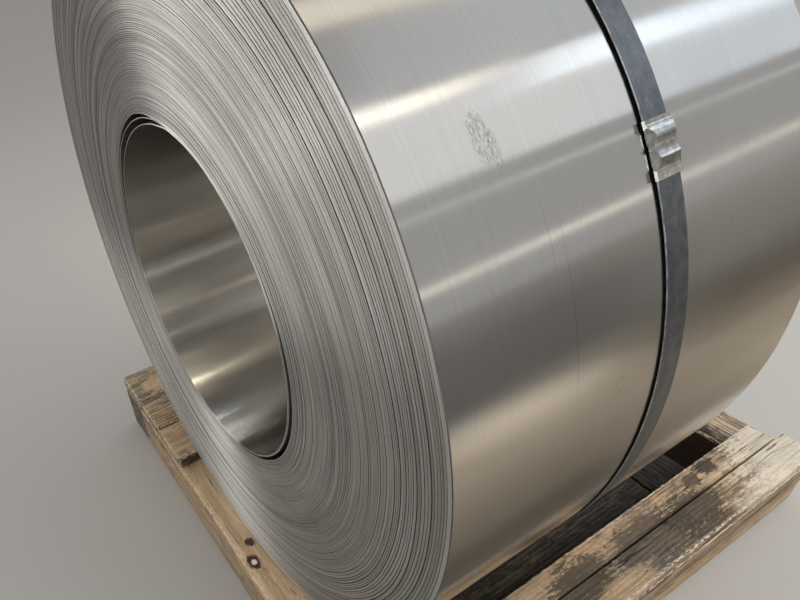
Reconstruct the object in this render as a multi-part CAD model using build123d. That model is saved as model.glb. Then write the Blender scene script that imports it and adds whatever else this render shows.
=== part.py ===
"""Steel strip coil, strapped once round its outside, lying on a timber skid.

Millimetres, +Z up. The origin is on the floor under the middle of the skid.
The coil's axis is level and runs along +Y, and its near end faces -Y.
"""

from build123d import *
from math import cos, degrees, radians, sin, sqrt
import os

# Coil of wound strip
COIL_RADIUS = 508.0
COIL_WIDTH = 508.0
WOUND_BORE_RADIUS = 256.0
TURN_THICKNESS = 1.5
TAIL_ANGLE = 188.0
TAIL_TAPER = 70.0

# Innermost turns, sprung in from the wound bore and lying off its centre
FREE_BORE_RADIUS = 244.5
FREE_BORE_SHIFT = 5.0
FREE_BORE_ANGLE = -60.0
SECOND_TURN_RADIUS = 250.5
LOWER_GAP_ANGLES = (-60.0, 44.0)
UPPER_GAP_ANGLES = (92.0, 150.0)
INNER_GAP_ANGLES = (90.0, 178.0)

# Bands of turns that stand alternately proud and low on the two ends
LOOSE_OUTER_BANDS = 3
LOOSE_BAND_WIDTH = 6.0
INNER_BAND_RADII = [330.0, 412.0]
BAND_STEP = 1.5

# Strap and its crimped seal
STRAP_WIDTH = 32.0
STRAP_THICKNESS = 0.9
STRAP_CLEARANCE = 0.2
STRAP_CENTRE = 269.0
SEAL_ANGLE = 30.6
SEAL_LENGTH = 50.0
SEAL_SHEET = 1.0
SEAL_CLEARANCE = 0.3
CRIMPS = 2
CRIMP_RADIUS = 5.0
CRIMP_SPACING = 22.0

# Timber skid
SKID_WIDTH = 1036.0
SKID_LENGTH = 1020.0
BEAM_HEIGHT = 120.0
BEAM_WIDTH = 100.0
BEAM_GAP_FAR = 102.0
BEAM_UNDER_COIL = 0.75
BED_BOARDS = 5
BED_THICKNESS = 32.0
BED_GAP = 2.0
BEARER_WIDTH = 50.0
PLANK_THICKNESS = 32.0
PLANK_GAP = 2.0
LEFT_PLANKS = 3
LEFT_SETBACK = 20.0
RIGHT_INNER_WIDTH = 50.0
RIGHT_OUTER_WIDTH = 60.0
RIGHT_INNER_SETBACK = 46.0
RIGHT_OUTER_SETBACK = 20.0
TIMBER_CHAMFER = 3.0

# How the coil lies on the skid
COIL_OVERHANG = 45.0
REST_CLEARANCE = 0.3
CHOCK_CLEARANCE = 1.0

# Places worked out from the sizes above
SKID_SIDE = SKID_WIDTH / 2
SKID_FRONT = -SKID_LENGTH / 2
BED_SIDE = SKID_SIDE - BEAM_WIDTH
BED_UNDERSIDE = BEAM_HEIGHT - BED_THICKNESS
COIL_FRONT = SKID_FRONT + COIL_OVERHANG
COIL_AXIS_Z = BEAM_HEIGHT + REST_CLEARANCE + COIL_RADIUS
COIL_PLACE = Pos(0, COIL_FRONT, COIL_AXIS_Z)
STRAP_INNER = COIL_RADIUS + STRAP_CLEARANCE
STRAP_OUTER = STRAP_INNER + STRAP_THICKNESS


def band_radii():
    """Radii where one band of turns meets the next, from the bore outwards."""
    outer = [COIL_RADIUS - LOOSE_BAND_WIDTH * (count + 1) for count in range(LOOSE_OUTER_BANDS)]
    return sorted(INNER_BAND_RADII + outer)


def coil_section():
    """Half section of the wound strip: radius along X, the coil's width along Y."""
    near = [(FREE_BORE_RADIUS - 2 * FREE_BORE_SHIFT, 0)]
    level = 0
    for radius in band_radii():
        near.append((radius, level))
        level = BAND_STEP - level
        near.append((radius, level))
    near.append((COIL_RADIUS, level))
    far = [(radius, COIL_WIDTH - height) for radius, height in reversed(near)]
    return make_face(Polyline(*near, *far, close=True))


def at_angle(radius, angle):
    """Point on the near end, the angle counted from +X towards +Z."""
    return (radius * cos(radians(angle)), radius * sin(radians(angle)))


def free_bore():
    """Round space left inside the innermost turn, through the whole coil."""
    across, up = at_angle(FREE_BORE_SHIFT, FREE_BORE_ANGLE)
    return extrude(Plane.XZ * Pos(across, up) * Circle(FREE_BORE_RADIUS), amount=-COIL_WIDTH)


def free_bore_reach(angle):
    """How far the innermost turn's inner face is from the coil's axis."""
    turned = radians(angle - FREE_BORE_ANGLE)
    chord = sqrt(FREE_BORE_RADIUS**2 - (FREE_BORE_SHIFT * sin(turned)) ** 2)
    return chord + FREE_BORE_SHIFT * cos(turned)


def disc_through(tip_radius, half_angle, crown):
    """Disc whose edge passes two tips and, midway between them, the crown on +X."""
    tip_x = tip_radius * cos(half_angle)
    centre = (crown**2 - tip_radius**2) / (2 * (crown - tip_x))
    return Pos(centre, 0) * Circle(crown - centre)


def turn_gap(tip_radius, angles, outer_crown, inner_crown):
    """Gap between two turns, widest midway and closing to a tip at each end."""
    half_angle = radians(angles[1] - angles[0]) / 2
    outer = disc_through(tip_radius, half_angle, outer_crown)
    gap = outer - disc_through(tip_radius, half_angle, inner_crown)
    turned = Rot(0, 0, sum(angles) / 2) * gap
    return extrude(Plane.XZ * turned, amount=-COIL_WIDTH)


def turn_gaps():
    """Gaps outside the innermost turn, and the one outside the second turn."""
    lower_crown = free_bore_reach(sum(LOWER_GAP_ANGLES) / 2) + TURN_THICKNESS
    inner_crown = free_bore_reach(sum(INNER_GAP_ANGLES) / 2) + TURN_THICKNESS
    second_outside = SECOND_TURN_RADIUS + TURN_THICKNESS
    return [
        turn_gap(WOUND_BORE_RADIUS, LOWER_GAP_ANGLES, WOUND_BORE_RADIUS, lower_crown),
        turn_gap(WOUND_BORE_RADIUS, UPPER_GAP_ANGLES, WOUND_BORE_RADIUS, second_outside),
        turn_gap(second_outside, INNER_GAP_ANGLES, SECOND_TURN_RADIUS, inner_crown),
    ]


def tail_step():
    """What is missing beyond the free end of the outermost turn."""
    clear = COIL_RADIUS + TURN_THICKNESS
    middle = TAIL_ANGLE + TAIL_TAPER / 2
    end = TAIL_ANGLE + TAIL_TAPER
    low = at_angle(COIL_RADIUS - TURN_THICKNESS, TAIL_ANGLE)
    slope = ThreePointArc(low, at_angle(COIL_RADIUS - TURN_THICKNESS / 2, middle), at_angle(COIL_RADIUS, end))
    close = Line(slope @ 1, at_angle(clear, end))
    outside = ThreePointArc(close @ 1, at_angle(clear, middle), at_angle(clear, TAIL_ANGLE))
    edge = Line(outside @ 1, slope @ 0)
    return extrude(Plane.XZ * make_face([slope, close, outside, edge]), amount=-COIL_WIDTH)


def coil():
    """The wound strip, turned as one solid, with its bore, loose inner turns and tail."""
    body = revolve(coil_section(), Axis.Y) - tail_step() - free_bore()
    for gap in turn_gaps():
        body -= gap
    return COIL_PLACE * body


def band(inner, outer, width, start_angle, sweep):
    """Part of a flat ring round the coil's axis, centred on the strap's line."""
    middle = (inner + outer) / 2
    section = Pos(middle, STRAP_CENTRE) * Rectangle(outer - inner, width)
    return Rot(0, -start_angle - sweep, 0) * revolve(section, Axis.Y, sweep)


def strap():
    """Steel strap pulled tight round the coil, its ends lapped under the seal."""
    loop = band(STRAP_INNER, STRAP_OUTER, STRAP_WIDTH, 0, 360)
    lap_angle = degrees(SEAL_LENGTH / STRAP_OUTER)
    lap = band(STRAP_OUTER, STRAP_OUTER + STRAP_THICKNESS, STRAP_WIDTH, SEAL_ANGLE - lap_angle / 2, lap_angle)
    return COIL_PLACE * (loop + lap)


def strap_seal():
    """Sheet sleeve crimped over the lapped strap ends, with scalloped sides."""
    inside = STRAP_OUTER + STRAP_THICKNESS + SEAL_CLEARANCE
    outside = inside + SEAL_SHEET
    inner_width = STRAP_WIDTH + 2 * SEAL_CLEARANCE
    outer_width = inner_width + 2 * SEAL_SHEET
    span = degrees(SEAL_LENGTH / outside)
    start = SEAL_ANGLE - span / 2
    sleeve = band(STRAP_INNER, outside, outer_width, start, span)
    sleeve -= band(STRAP_INNER - SEAL_SHEET, inside, inner_width, start - span, 3 * span)
    for count in range(CRIMPS):
        along = (count - (CRIMPS - 1) / 2) * CRIMP_SPACING
        turn = Rot(0, -SEAL_ANGLE - degrees(along / outside), 0)
        for side in (-1, 1):
            edge = STRAP_CENTRE + side * (outer_width / 2 + CRIMP_RADIUS - 2 * SEAL_SHEET)
            punch = Pos(outside, edge) * Rot(0, 90, 0) * Cylinder(CRIMP_RADIUS, 6 * SEAL_SHEET)
            sleeve -= turn * punch
    return COIL_PLACE * sleeve


def timber(width, length, height, left, front, bottom):
    """Sawn timber with eased edges, from its lowest left front corner."""
    block = Box(width, length, height, align=(Align.MIN, Align.MIN, Align.MIN))
    along = Axis.X if width > length else Axis.Y
    block = chamfer(block.edges().filter_by(along), TIMBER_CHAMFER)
    return Pos(left, front, bottom) * block


def runner(side):
    """Outer runner along the whole skid, on the left (-1) or the right (+1)."""
    left = -SKID_SIDE if side < 0 else SKID_SIDE - BEAM_WIDTH
    return timber(BEAM_WIDTH, SKID_LENGTH, BEAM_HEIGHT, left, SKID_FRONT, 0)


def beam_starts():
    """Near sides of the four cross beams: the second lies under the bed and the coil."""
    under_coil = COIL_FRONT + BEAM_UNDER_COIL * COIL_WIDTH - BEAM_WIDTH / 2
    last = SKID_FRONT + SKID_LENGTH - BEAM_WIDTH
    return [SKID_FRONT, under_coil, last - BEAM_GAP_FAR - BEAM_WIDTH, last]


def cross_beam(start, width, height):
    """Beam on the floor between the runners, its ends against them."""
    return timber(2 * BED_SIDE, width, height, -BED_SIDE, start, 0)


def cross_beams():
    """The four beams, the second one lower by the thickness of the bed on it."""
    heights = [BEAM_HEIGHT, BED_UNDERSIDE, BEAM_HEIGHT, BEAM_HEIGHT]
    return [cross_beam(start, BEAM_WIDTH, height) for start, height in zip(beam_starts(), heights)]


def bearers():
    """Two lower beams, against the first and third, under the ends of the bed."""
    starts = [beam_starts()[0] + BEAM_WIDTH, beam_starts()[2] - BEARER_WIDTH]
    return [cross_beam(start, BEARER_WIDTH, BED_UNDERSIDE) for start in starts]


def strap_dent():
    """Dent pressed into the bed by the strap under the coil."""
    reach = sqrt(STRAP_OUTER**2 - (COIL_RADIUS + REST_CLEARANCE) ** 2) + CHOCK_CLEARANCE
    depth = STRAP_OUTER - COIL_RADIUS
    dent = Box(2 * reach, STRAP_WIDTH + 2 * STRAP_CLEARANCE, 2 * depth)
    return Pos(0, COIL_FRONT + STRAP_CENTRE, BEAM_HEIGHT) * dent


def bed_boards():
    """Boards along the skid under the coil, level with the tops of the outer beams."""
    front = beam_starts()[0] + BEAM_WIDTH + BED_GAP
    length = beam_starts()[2] - BED_GAP - front
    pitch = (2 * BED_SIDE + BED_GAP) / BED_BOARDS
    lefts = [-BED_SIDE + count * pitch for count in range(BED_BOARDS)]
    boards = [timber(pitch - BED_GAP, length, BED_THICKNESS, left, front, BED_UNDERSIDE) for left in lefts]
    return [board - strap_dent() for board in boards]


def plank(left, width, setback):
    """Top plank along the skid, its far end set back from the skid's."""
    return timber(width, SKID_LENGTH - setback, PLANK_THICKNESS, left, SKID_FRONT, BEAM_HEIGHT)


def left_planks():
    """Planks from the skid's left side to the coil, which their last edge chocks."""
    axis_above_planks = COIL_AXIS_Z - BEAM_HEIGHT - PLANK_THICKNESS
    touch = sqrt(COIL_RADIUS**2 - axis_above_planks**2) + CHOCK_CLEARANCE
    pitch = (SKID_SIDE - touch + PLANK_GAP) / LEFT_PLANKS
    starts = [-SKID_SIDE + count * pitch for count in range(LEFT_PLANKS)]
    return [plank(left, pitch - PLANK_GAP, LEFT_SETBACK) for left in starts]


def right_planks():
    """The two narrow planks beyond the gap beside the coil."""
    outer_left = SKID_SIDE - RIGHT_OUTER_WIDTH
    inner_left = outer_left - PLANK_GAP - RIGHT_INNER_WIDTH
    inner = plank(inner_left, RIGHT_INNER_WIDTH, RIGHT_INNER_SETBACK)
    outer = plank(outer_left, RIGHT_OUTER_WIDTH, RIGHT_OUTER_SETBACK)
    return [inner, outer]


def pieces():
    """Every piece under its name."""
    named = {"coil": coil(), "strap": strap(), "strap_seal": strap_seal()}
    named["runner_left"] = runner(-1)
    named["runner_right"] = runner(1)
    for count, piece in enumerate(cross_beams()):
        named[f"cross_beam_{count + 1}"] = piece
    named["bed_bearer_front"], named["bed_bearer_back"] = bearers()
    for count, piece in enumerate(bed_boards()):
        named[f"bed_board_{count + 1}"] = piece
    for count, piece in enumerate(left_planks()):
        named[f"plank_left_{count + 1}"] = piece
    for count, piece in enumerate(right_planks()):
        named[f"plank_right_{count + 1}"] = piece
    return named


os.makedirs("parts", exist_ok=True)
for name, piece in pieces().items():
    export_step(piece, f"parts/{name}.step")
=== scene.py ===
import random
from bisect import bisect
from math import atan2, cos, degrees, exp, hypot, pi, radians, sin

import bpy
from mathutils import Matrix, Vector, noise


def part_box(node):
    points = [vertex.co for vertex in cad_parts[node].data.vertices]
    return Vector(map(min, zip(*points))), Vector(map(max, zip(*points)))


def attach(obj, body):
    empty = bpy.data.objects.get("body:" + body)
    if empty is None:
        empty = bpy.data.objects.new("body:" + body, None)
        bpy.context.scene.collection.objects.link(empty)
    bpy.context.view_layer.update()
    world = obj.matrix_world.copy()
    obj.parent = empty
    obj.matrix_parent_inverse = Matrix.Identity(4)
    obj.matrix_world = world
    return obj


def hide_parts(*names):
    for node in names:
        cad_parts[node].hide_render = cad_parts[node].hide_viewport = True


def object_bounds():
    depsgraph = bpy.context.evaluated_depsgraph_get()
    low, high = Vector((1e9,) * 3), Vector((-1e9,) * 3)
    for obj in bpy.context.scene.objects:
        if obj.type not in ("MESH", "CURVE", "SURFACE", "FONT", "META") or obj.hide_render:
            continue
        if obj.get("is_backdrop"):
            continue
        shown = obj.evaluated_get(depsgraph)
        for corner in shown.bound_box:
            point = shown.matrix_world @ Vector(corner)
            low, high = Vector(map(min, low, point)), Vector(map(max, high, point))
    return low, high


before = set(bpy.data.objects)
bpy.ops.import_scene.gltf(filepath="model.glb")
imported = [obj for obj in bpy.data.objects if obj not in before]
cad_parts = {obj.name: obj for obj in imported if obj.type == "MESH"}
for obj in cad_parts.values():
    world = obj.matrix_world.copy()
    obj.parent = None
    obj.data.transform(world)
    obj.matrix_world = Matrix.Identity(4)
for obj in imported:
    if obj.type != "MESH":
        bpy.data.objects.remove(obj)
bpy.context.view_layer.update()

# The wound strip
#
# Stainless strip, wound tight on a mandrel into one coil. Its two ends are the slit
# edges of the turns: close and nearly level inside, looser towards the rim, with open
# gaps between. The outermost turn ends in a cut edge on the left side.

coil_low, coil_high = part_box("coil")
coil_radius = (coil_high.x - coil_low.x) / 2
coil_axis = Vector(((coil_low.x + coil_high.x) / 2, 0, (coil_low.z + coil_high.z) / 2))
near_end = coil_low.y
far_end = coil_high.y
coil_width = far_end - near_end
wound_bore_radius = 0.254
strip_thickness = 0.0013
round_steps = 144
tight_turn = 0.0019
tight_gap = 0.00040
tight_gap_depth = 0.0011
loose_turn = 0.0030
loose_gap = 0.0008
loose_gap_depth = 0.0060
loose_from = 0.411
level_step = 0.0004
deepest_level = 0.0012
rim_set_back = 0.0003
rim_chamfer = 0.0009
top_sag = 0.0055
winding_drift = 0.009
drift_angle = radians(-70)
tail_angle = radians(188)
tail_taper = radians(70)
cut_edge_angle = 0.0012
turn_unevenness = 0.0022
outside_ripple = 0.0005
deep_gap = 0.003
rolled_faces = 1
bore_faces = 2
gap_faces = 3
wound_bore_radii = {
    -60: 0.2540, -50: 0.2552, -35: 0.2566, -20: 0.2568, 20: 0.2566, 30: 0.2560, 40: 0.2545, 52: 0.2515,
    62: 0.2499, 85: 0.2496, 95: 0.2505, 100: 0.2528, 106: 0.2548, 112: 0.2570, 130: 0.2575, 140: 0.2562,
    150: 0.2543, 160: 0.2527, 190: 0.2525, 230: 0.2522, 265: 0.2534,
}


def deselect_all():
    """Leave nothing selected, so that the next operator acts on new work only."""
    for thing in bpy.context.selected_objects:
        thing.select_set(False)


def start_point(name, place):
    """A new mesh of one vertex at a place, open in edit mode with that vertex selected."""
    deselect_all()
    bpy.ops.mesh.primitive_plane_add(size=0.001, location=place)
    piece = bpy.context.object
    piece.name = name
    bpy.ops.object.transform_apply(location=True, rotation=True, scale=True)
    bpy.ops.object.mode_set(mode="EDIT")
    bpy.ops.mesh.select_all(action="SELECT")
    bpy.ops.mesh.merge(type="CENTER")
    return piece


def draw_through(points):
    """Draw on from the selected vertex, the first of the points, through the others."""
    for before, after in zip(points, points[1:]):
        step = (after[0] - before[0], after[1] - before[1], 0)
        bpy.ops.mesh.extrude_region_move(TRANSFORM_OT_translate={"value": step})


def turn_round_axis():
    """Spin the drawn profile once round the coil's axis and close it."""
    bpy.ops.mesh.select_all(action="SELECT")
    bpy.ops.mesh.spin(steps=round_steps, angle=2 * pi, center=coil_axis, axis=(0, 1, 0))
    bpy.ops.mesh.select_all(action="SELECT")
    bpy.ops.mesh.remove_doubles(threshold=0.00002)
    bpy.ops.mesh.normals_make_consistent(inside=False)


def place_round_axis(vertex):
    """A vertex's radius and its angle, counted from the right side upwards."""
    spoke = vertex.co - coil_axis
    return hypot(spoke.x, spoke.z), atan2(spoke.z, spoke.x)


def put_round_axis(vertex, radius, angle):
    """Move a vertex to a radius and an angle, where it stands along the axis."""
    vertex.co.x = coil_axis.x + radius * cos(angle)
    vertex.co.z = coil_axis.z + radius * sin(angle)


def radius_at(radii, angle):
    """Radius between the two given angles on either side, by an even S-shaped slope."""
    turned = (degrees(angle) - min(radii)) % 360 + min(radii)
    places = sorted(radii) + [min(radii) + 360]
    step = bisect(places, turned) - 1
    share = (turned - places[step]) / (places[step + 1] - places[step])
    first = radii[places[step]]
    last = radii[places[(step + 1) % len(radii)]]
    return first + (last - first) * (1 - cos(pi * share)) / 2


def sag(angle):
    """How far the outside lies under a true circle, its top having settled."""
    return top_sag * max(0, sin(angle)) ** 2


def wind_turns(seed, coarseness):
    """Turns from bore to rim, each (inner radius, outer radius, level, gap depth, tone)."""
    chance = random.Random(seed)
    inner = wound_bore_radius
    level = level_step
    turns = []
    while inner < coil_radius - 0.002:
        loose = inner > loose_from
        width = (loose_turn if loose else tight_turn * coarseness) * chance.uniform(0.65, 1.40)
        gap = (loose_gap if loose else tight_gap) * chance.uniform(0.6, 1.4)
        depth = loose_gap_depth if loose else tight_gap_depth
        tone = chance.uniform(0.35, 0.70)
        if chance.random() < 0.14:
            tone = chance.uniform(0.80, 1.0)
        elif chance.random() < 0.12:
            tone = chance.uniform(0.0, 0.2)
        level = min(deepest_level, max(0.0, level + chance.uniform(-level_step, level_step)))
        outer = min(inner + width, coil_radius)
        # The outermost turn gets the brightest tone, a painted highlight along the rim.
        if coil_radius - outer < 0.004:
            outer = coil_radius
            tone = 1.0
        turns.append((inner, outer, level, depth, tone))
        inner = outer + gap
    return turns


def end_profile(turns, end, inward):
    """Points across one end of the coil, from the bore to the rim, as (radius, place)."""
    points = [(wound_bore_radius, end)]
    for here, after in zip(turns, turns[1:]):
        inner, outer, level, depth, tone = here
        if inner > wound_bore_radius:
            points.append((inner, end + inward * level))
        points.append((outer, end + inward * level))
        bottom = end + inward * (max(level, after[2]) + depth)
        if depth > deep_gap:
            points.append((outer, bottom))
            points.append((after[0], bottom))
        else:
            points.append(((outer + after[0]) / 2, bottom))
    points.append((turns[-1][0], end + inward * turns[-1][2]))
    points.append((coil_radius - rim_chamfer, end + inward * rim_set_back))
    points.append((coil_radius, end + inward * (rim_set_back + rim_chamfer)))
    return points


near_turns = wind_turns(11, 1.0)
far_turns = wind_turns(23, 1.7)
near_profile = end_profile(near_turns, near_end, 1)
far_profile = end_profile(far_turns, far_end, -1)[::-1]
rim_near = near_profile[-1][1]
rim_far = far_profile[0][1]
outside_points = [(coil_radius, rim_near + (rim_far - rim_near) * share / 8) for share in range(1, 8)]
bore_points = [(wound_bore_radius, far_end - coil_width * share / 4) for share in range(1, 4)]

wound_coil = start_point("wound_coil", coil_axis + Vector((wound_bore_radius, near_end, 0)))
draw_through(near_profile + outside_points + far_profile + bore_points + [near_profile[0]])
turn_round_axis()
for angle in (tail_angle, tail_angle - cut_edge_angle):
    bpy.ops.mesh.select_all(action="SELECT")
    across = Vector((-sin(angle), 0, cos(angle)))
    bpy.ops.mesh.bisect(plane_co=coil_axis, plane_no=across)
bpy.ops.object.mode_set(mode="OBJECT")

turn_tone = wound_coil.data.attributes.new("turn_tone", "FLOAT", "FACE")
middle = (near_end + far_end) / 2
for face in wound_coil.data.polygons:
    radius = hypot(face.center.x - coil_axis.x, face.center.z - coil_axis.z)
    turns = near_turns if face.center.y < middle else far_turns
    count = bisect([turn[0] for turn in turns], radius) - 1
    turn_tone.data[face.index].value = turns[max(0, count)][4]
    from_end = min(face.center.y - near_end, far_end - face.center.y)
    faces_round = abs(face.normal.y) < 0.2
    gap_wall = from_end < 0.012 and face.area < 0.00001
    if faces_round and radius > coil_radius - 0.002 and not gap_wall:
        face.material_index = rolled_faces
    elif faces_round and radius < wound_bore_radius + 0.0005:
        face.material_index = bore_faces
    elif abs(face.normal.y) < 0.85 or from_end > 0.0022:
        face.material_index = gap_faces
for vertex in wound_coil.data.vertices:
    radius, angle = place_round_axis(vertex)
    share = min(1, max(0, (radius - wound_bore_radius) / (coil_radius - wound_bore_radius)))
    moved = radius + winding_drift * sin(pi * share) * cos(angle - drift_angle) - sag(angle) * share ** 2
    moved += (radius_at(wound_bore_radii, angle) - wound_bore_radius) * exp(-8 * share)
    uneven = noise.noise(Vector((radius * 70, 2.2 * cos(angle), 2.2 * sin(angle))))
    moved += turn_unevenness * uneven * min(1, 6 * share) * min(1, 6 * (1 - share))
    ripple = noise.noise(Vector((4.5 * cos(angle), vertex.co.y * 1.2, 4.5 * sin(angle))))
    moved += outside_ripple * ripple * share ** 4
    past_tail = (angle - tail_angle) % (2 * pi)
    if radius > coil_radius - 0.0008 and past_tail < tail_taper:
        moved -= strip_thickness * (1 - past_tail / tail_taper)
    put_round_axis(vertex, moved, angle)


def new_material(name):
    """An empty node material, its tree and its shader."""
    material = bpy.data.materials.new(name)
    material.use_nodes = True
    return material, material.node_tree, material.node_tree.nodes["Principled BSDF"]


def add_node(tree, kind, **settings):
    """A node of one kind, with its settings, or its sockets where a name is a socket's."""
    node = tree.nodes.new(kind)
    for name, value in settings.items():
        if hasattr(node, name):
            setattr(node, name, value)
        else:
            node.inputs[name.replace("_", " ")].default_value = value
    return node


def plug(tree, value, socket):
    """Give a socket a link, a plain number or a plain colour."""
    if isinstance(value, bpy.types.NodeSocket):
        tree.links.new(value, socket)
    elif isinstance(value, tuple) and len(value) == 3 and socket.type == "RGBA":
        socket.default_value = (*value, 1)
    else:
        socket.default_value = value


def reckon(tree, operation, *values):
    """One step of arithmetic on links and numbers."""
    step = add_node(tree, "ShaderNodeMath", operation=operation)
    for value, socket in zip(values, step.inputs):
        plug(tree, value, socket)
    return step.outputs[0]


def from_axis(tree):
    """Coordinates counted from the near end of the coil's axis, whole and straight out."""
    place = add_node(tree, "ShaderNodeTexCoord")
    centre = add_node(tree, "ShaderNodeMapping", Location=(-coil_axis.x, -near_end, -coil_axis.z))
    tree.links.new(place.outputs["Object"], centre.inputs["Vector"])
    flat = add_node(tree, "ShaderNodeVectorMath", operation="MULTIPLY")
    flat.inputs[1].default_value = (1, 0, 1)
    tree.links.new(centre.outputs["Vector"], flat.inputs[0])
    return centre.outputs["Vector"], flat.outputs["Vector"]


def coil_polar(tree, radial, round_about, along):
    """Coordinates that follow the turns: out from the axis, round it, and along it."""
    centred, flat = from_axis(tree)
    length = add_node(tree, "ShaderNodeVectorMath", operation="LENGTH")
    tree.links.new(flat, length.inputs[0])
    unit = add_node(tree, "ShaderNodeVectorMath", operation="NORMALIZE")
    tree.links.new(flat, unit.inputs[0])
    parts = add_node(tree, "ShaderNodeSeparateXYZ")
    tree.links.new(centred, parts.inputs[0])
    units = add_node(tree, "ShaderNodeSeparateXYZ")
    tree.links.new(unit.outputs["Vector"], units.inputs[0])
    joined = add_node(tree, "ShaderNodeCombineXYZ")
    deep = reckon(tree, "MULTIPLY", parts.outputs["Y"], along)
    plug(tree, reckon(tree, "MULTIPLY_ADD", length.outputs["Value"], radial, deep), joined.inputs["X"])
    plug(tree, reckon(tree, "MULTIPLY", units.outputs["X"], round_about), joined.inputs["Y"])
    plug(tree, reckon(tree, "MULTIPLY", units.outputs["Z"], round_about), joined.inputs["Z"])
    return joined.outputs["Vector"]


def ramp(tree, value, *stops):
    """A colour that follows a value, from (place, colour) stops."""
    made = add_node(tree, "ShaderNodeValToRGB")
    for place, colour in stops[:-2]:
        made.color_ramp.elements.new(place)
    for element, (place, colour) in zip(made.color_ramp.elements, stops):
        element.position = place
        element.color = (*colour, 1) if isinstance(colour, tuple) else (colour, colour, colour, 1)
    plug(tree, value, made.inputs["Fac"])
    return made.outputs["Color"]


def grain(tree, vector, scale, detail=3.0, roughness=0.5, distortion=0.0):
    """Noise on a set of coordinates."""
    made = add_node(tree, "ShaderNodeTexNoise", Scale=scale, Detail=detail, Roughness=roughness)
    made.inputs["Distortion"].default_value = distortion
    plug(tree, vector, made.inputs["Vector"])
    return made.outputs["Fac"]


def spread(tree, value, low, high, start=0.0, end=1.0):
    """A value carried over from one range to another."""
    made = add_node(tree, "ShaderNodeMapRange")
    plug(tree, value, made.inputs["Value"])
    made.inputs["From Min"].default_value = start
    made.inputs["From Max"].default_value = end
    made.inputs["To Min"].default_value = low
    made.inputs["To Max"].default_value = high
    return made.outputs[0]


def mix(tree, first, second, amount, way="MIX"):
    """Two colours mixed by an amount."""
    made = add_node(tree, "ShaderNodeMix", data_type="RGBA", blend_type=way)
    plug(tree, amount, made.inputs[0])
    plug(tree, first, made.inputs[6])
    plug(tree, second, made.inputs[7])
    return made.outputs[2]


def emboss(tree, shader, *layers):
    """Fine relief on a shader, from (height, distance in metres) layers."""
    normal = None
    for height, distance in layers:
        relief = add_node(tree, "ShaderNodeBump", Distance=distance)
        plug(tree, height, relief.inputs["Height"])
        if normal is not None:
            plug(tree, normal, relief.inputs["Normal"])
        normal = relief.outputs["Normal"]
    plug(tree, normal, shader.inputs["Normal"])


def scratch_across(tree, shader, way, strength):
    """Stretch the gloss out from the axis or along it, across lines that run round it."""
    if way == "outwards":
        tangent = from_axis(tree)[1]
    else:
        tangent = add_node(tree, "ShaderNodeCombineXYZ", Y=1.0).outputs["Vector"]
    tree.links.new(tangent, shader.inputs["Tangent"])
    shader.inputs["Anisotropic"].default_value = strength


def far_from(tree, place, centre, size):
    """How far a place is from a centre, where 1 is the edge of an oval of a size."""
    spot = add_node(tree, "ShaderNodeMapping", vector_type="TEXTURE", Location=centre, Scale=size)
    plug(tree, place, spot.inputs["Vector"])
    reach = add_node(tree, "ShaderNodeVectorMath", operation="LENGTH")
    plug(tree, spot.outputs["Vector"], reach.inputs[0])
    return reach.outputs["Value"]


# Slit edges of the turns: satin grey, each turn of its own tone, which also drifts
# along its length, with fine lines round the coil and a faint sheared grain.
slit_edge_steel, tree, shader = new_material("slit_edge_steel")
turn = add_node(tree, "ShaderNodeAttribute", attribute_name="turn_tone").outputs["Fac"]
patches = grain(tree, coil_polar(tree, 60, 2.0, 0), 1.0, 3.0)
streaks = grain(tree, coil_polar(tree, 500, 4.0, 0), 1.0, 2.0)
hairlines = grain(tree, coil_polar(tree, 2600, 9.0, 0), 1.0, 1.0)
speckle = grain(tree, coil_polar(tree, 1500, 260.0, 0), 1.0, 2.0)
tone = reckon(tree, "ADD", reckon(tree, "MULTIPLY", turn, 0.40), reckon(tree, "MULTIPLY", streaks, 0.60))
tone = reckon(tree, "ADD", tone, spread(tree, patches, -0.10, 0.10, 0.3, 0.7))
steel = ramp(
    tree, tone, (0.20, (0.30, 0.29, 0.27)), (0.50, (0.42, 0.41, 0.385)), (0.80, (0.57, 0.565, 0.545)),
)
steel = mix(tree, steel, ramp(tree, hairlines, (0.30, 0.80), (0.60, 1.0)), 1.0, "MULTIPLY")
steel = mix(tree, steel, ramp(tree, speckle, (0.30, 0.84), (0.65, 1.0)), 1.0, "MULTIPLY")
plug(tree, steel, shader.inputs["Base Color"])
shader.inputs["Metallic"].default_value = 1.0
plug(tree, spread(tree, streaks, 0.38, 0.48), shader.inputs["Roughness"])
scratch_across(tree, shader, "outwards", 0.9)
emboss(tree, shader, (streaks, 0.0002), (speckle, 0.0001))

# Rolled face of the strip, on the outside: bright and nearly a mirror, with faint
# rolling lines round the coil. The marks are two rubbed scuffs, a long scratch, an oval
# ring and a short scratch. Each has its centre and size, the edge inside which a ring is
# clear (below 0 where it isn't a ring), how far rubbing breaks it up, and its strength.
handling_marks = (
    ((0.405, -0.3710, 0.935), (0.024, 0.0110, 0.024), -1.0, 1.0, 0.50),
    ((0.412, -0.3620, 0.925), (0.018, 0.0060, 0.016), -1.0, 1.0, 0.40),
    ((0.477, -0.3220, 0.795), (0.100, 0.0005, 0.105), -1.0, 0.4, 0.45),
    ((0.502, -0.2640, 0.708), (0.020, 0.0060, 0.010), 0.72, 0.2, 0.30),
    ((0.452, -0.3350, 0.860), (0.040, 0.0004, 0.030), -1.0, 0.4, 0.35),
)
rolled_steel, tree, shader = new_material("rolled_steel")
rolling = grain(tree, coil_polar(tree, 0, 0.9, 700), 1.0, 4.0, 0.6)
clouds = grain(tree, coil_polar(tree, 0, 3.0, 5), 1.0, 5.0, 0.6)
hue = grain(tree, coil_polar(tree, 0, 1.5, 2), 1.0, 3.0)
steel = ramp(tree, hue, (0.35, (0.575, 0.56, 0.535)), (0.65, (0.645, 0.645, 0.645)))
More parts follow.
